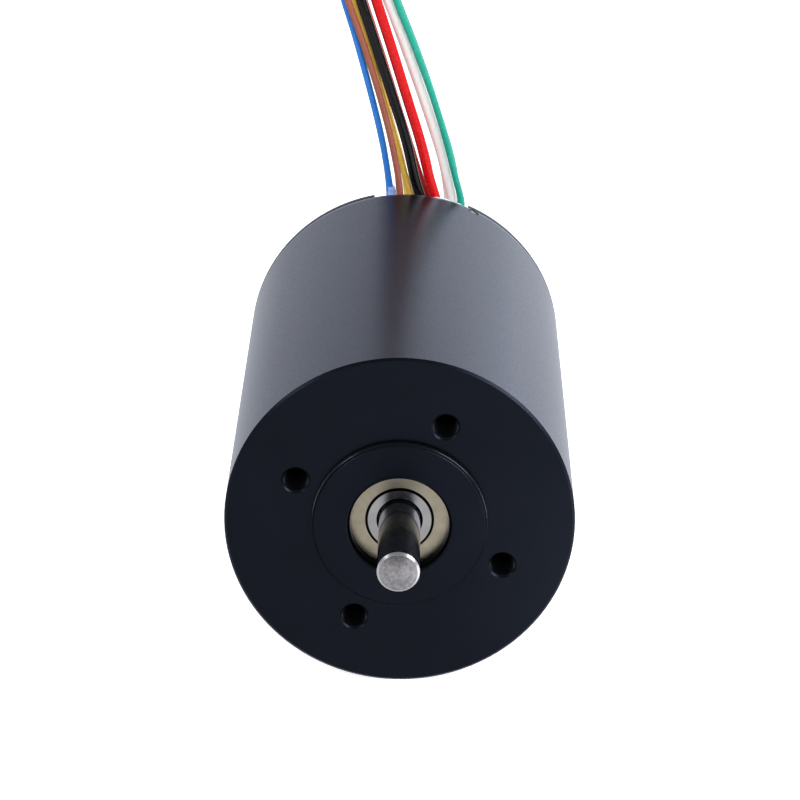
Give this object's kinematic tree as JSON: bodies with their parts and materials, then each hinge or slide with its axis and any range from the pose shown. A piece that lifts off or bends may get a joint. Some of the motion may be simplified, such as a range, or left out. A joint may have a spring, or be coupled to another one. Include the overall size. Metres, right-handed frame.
{
  "type": "brushless coreless motor",
  "caption": "Cylindrical brushless coreless motor with a plain round output shaft, a pilot boss, tapped face holes, shielded ball bearings and flying leads from its rear edge.",
  "frame": {"origin": "centre of the front mounting face, on the motor's axis", "axes": "+Y along the motor's axis from the output shaft to the rear cap, +Z toward the lead slot, +X to the right seen from the shaft end"},
  "size_m": [0.042, 0.1576, 0.0829],
  "materials": {
    "black_anodised": "satin black anodised",
    "lamination_steel": "stacked electrical steel",
    "insulating_film": "film",
    "enamelled_copper": "enamelled and bonded",
    "insulator": "moulded",
    "board": "solder mask",
    "chip": "moulded",
    "screw_steel": "plated",
    "solder": "bright solder",
    "sealant": "cured sealant",
    "bearing_steel": "ground",
    "cage_steel": "pressed",
    "shield_steel": "pressed, pale gold passivation",
    "spring_steel": "spring",
    "shaft_steel": "ground and polished",
    "rotor_steel": "turned",
    "magnet": "plated magnet",
    "sleeve_steel": "drawn",
    "balance_brass": "turned",
    "wire_blue": "wire insulation",
    "wire_brown": "wire insulation",
    "wire_yellow": "wire insulation",
    "wire_black": "wire insulation",
    "wire_maroon": "wire insulation",
    "wire_red": "wire insulation",
    "wire_white": "wire insulation",
    "wire_green": "wire insulation",
    "tinned_copper": "tinned strands"
  },
  "bodies": {
    "stator": {"housing": "black_anodised", "rear_cap": "black_anodised", "stator_stack": "lamination_steel", "stack_liner": "insulating_film", "winding_phase_u": "enamelled_copper", "winding_phase_v": "enamelled_copper", "winding_phase_w": "enamelled_copper", "front_insulator": "insulator", "board_carrier": "insulator", "hall_board": "board", "hall_sensors": "chip", "board_parts": "chip", "board_screws": "screw_steel", "solder_joints": "solder", "phase_taps": "enamelled_copper", "slot_seal": "sealant", "wave_washer": "spring_steel", "lead_tips": "tinned_copper", "front_outer_ring": "bearing_steel", "front_outer_shield": "shield_steel", "front_inner_shield": "shield_steel", "rear_outer_ring": "bearing_steel", "rear_outer_shield": "shield_steel", "rear_inner_shield": "shield_steel", "lead_blue": "wire_blue", "lead_brown": "wire_brown", "lead_yellow": "wire_yellow", "lead_black": "wire_black", "lead_maroon": "wire_maroon", "lead_red": "wire_red", "lead_white": "wire_white", "lead_green": "wire_green"},
    "rotor": {"shaft": "shaft_steel", "rotor_core": "rotor_steel", "magnets": "magnet", "magnet_sleeve": "sleeve_steel", "balance_ring": "balance_brass", "sense_magnet": "magnet", "front_spacer": "sleeve_steel", "rear_spacer": "sleeve_steel", "front_inner_ring": "bearing_steel", "rear_inner_ring": "bearing_steel"},
    "front_ball_set": {"front_balls": "bearing_steel", "front_cage": "cage_steel"},
    "rear_ball_set": {"rear_balls": "bearing_steel", "rear_cage": "cage_steel"}
  },
  "joints": [
    {"name": "rotor_spin", "type": "hinge", "parent": "stator", "child": "rotor", "pos_m": [0, 0, 0], "axis": [0, 1, 0], "continuous": true},
    {"name": "front_cage_spin", "type": "hinge", "parent": "stator", "child": "front_ball_set", "pos_m": [0, 0.0033, 0], "axis": [0, 1, 0], "continuous": true},
    {"name": "rear_cage_spin", "type": "hinge", "parent": "stator", "child": "rear_ball_set", "pos_m": [0, 0.0583, 0], "axis": [0, 1, 0], "continuous": true}
  ],
  "couplings": [
    {"joint": "front_cage_spin", "follows": "rotor_spin", "ratio": 0.36771},
    {"joint": "rear_cage_spin", "follows": "rotor_spin", "ratio": 0.36771}
  ]
}
